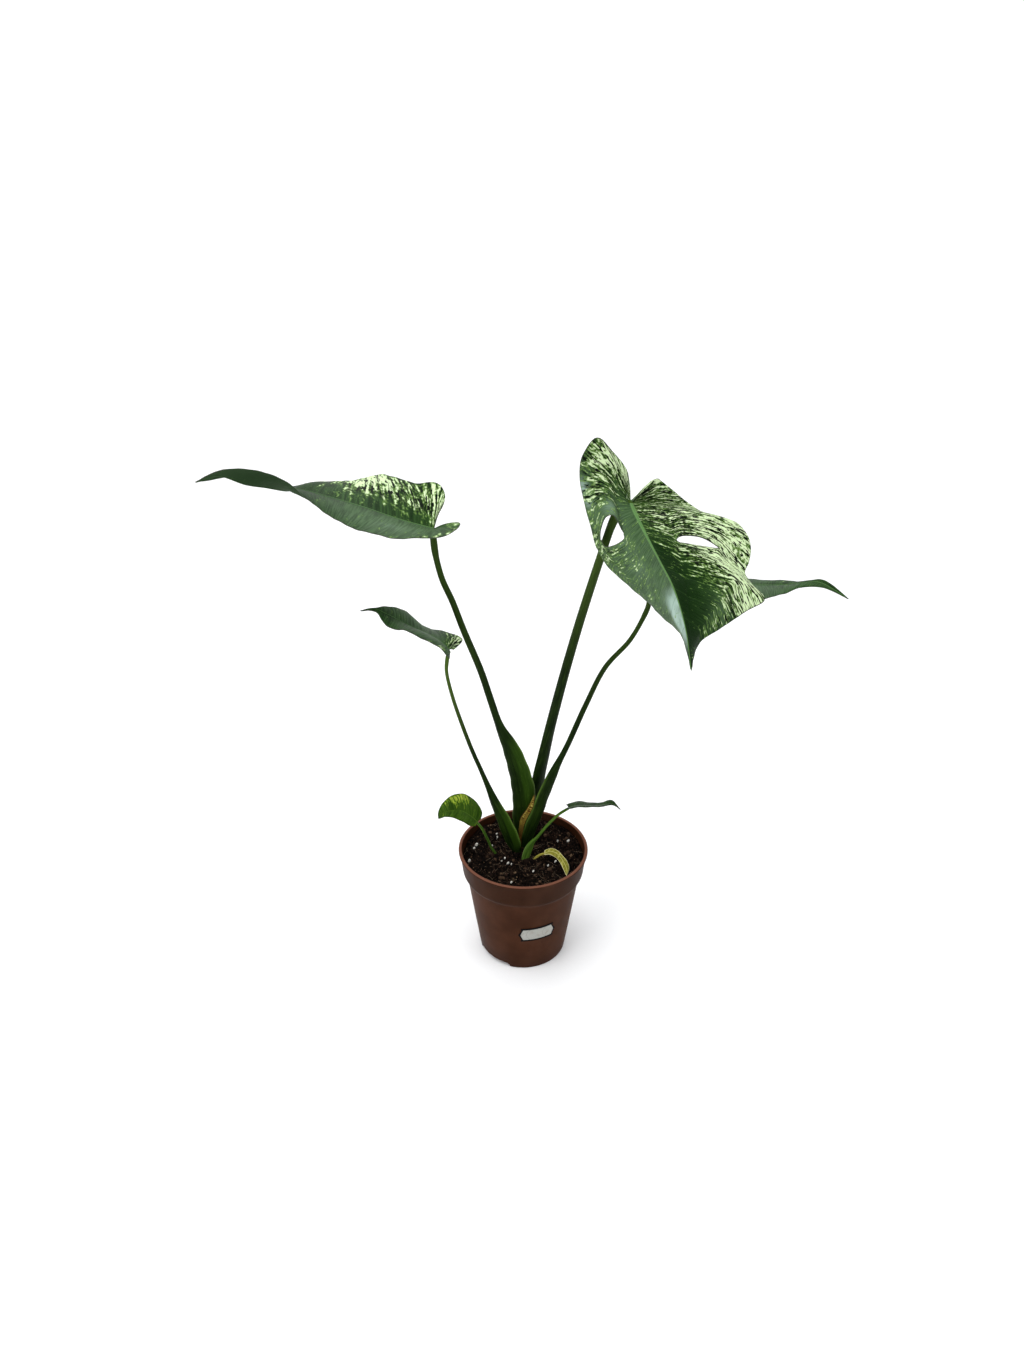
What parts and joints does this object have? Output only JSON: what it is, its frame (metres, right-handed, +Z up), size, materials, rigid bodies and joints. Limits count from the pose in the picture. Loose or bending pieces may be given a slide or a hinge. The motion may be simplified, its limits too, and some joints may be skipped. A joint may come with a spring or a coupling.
{
  "type": "potted variegated monstera",
  "caption": "Young variegated monstera with large folded leaves on slender stalks, standing in the soil of a tapered plastic nursery pot.",
  "frame": {"origin": "middle of the pot's underside, on its flat centre pad, which lies in the plane the pot stands on", "axes": "+Z up; -Y towards the side that the picture shows; the leaves spread mostly along X"},
  "size_m": [0.5123, 0.2359, 0.5081],
  "materials": {
    "pot_plastic": "satin moulded plastic, dull brown terracotta",
    "label_paper": "matt coated paper",
    "soil": "loose dark peat with white perlite grains",
    "stalk": "smooth dark green plant stalk, satin",
    "leaf": "waxy dark green leaf with mint and cream flecks along its veins",
    "young_leaf": "soft fresh green leaf",
    "yellow_leaf": "limp yellowed leaf",
    "dried_sheath": "papery dried sheath, brown to straw"
  },
  "bodies": {
    "root": {"pot": "pot_plastic", "price_label": "label_paper", "potting_soil": "soil", "crown": "stalk", "petiole_large_left": "stalk", "petiole_large_right": "stalk", "petiole_rear_right": "stalk", "petiole_small_left": "stalk", "blade_large_left": "leaf", "blade_large_right": "leaf", "blade_rear_right": "leaf", "blade_small_left": "leaf", "seedling_left": "young_leaf", "seedling_right": "young_leaf", "yellow_leaf": "yellow_leaf", "dried_sheath": "dried_sheath"}
  },
  "joints": []
}
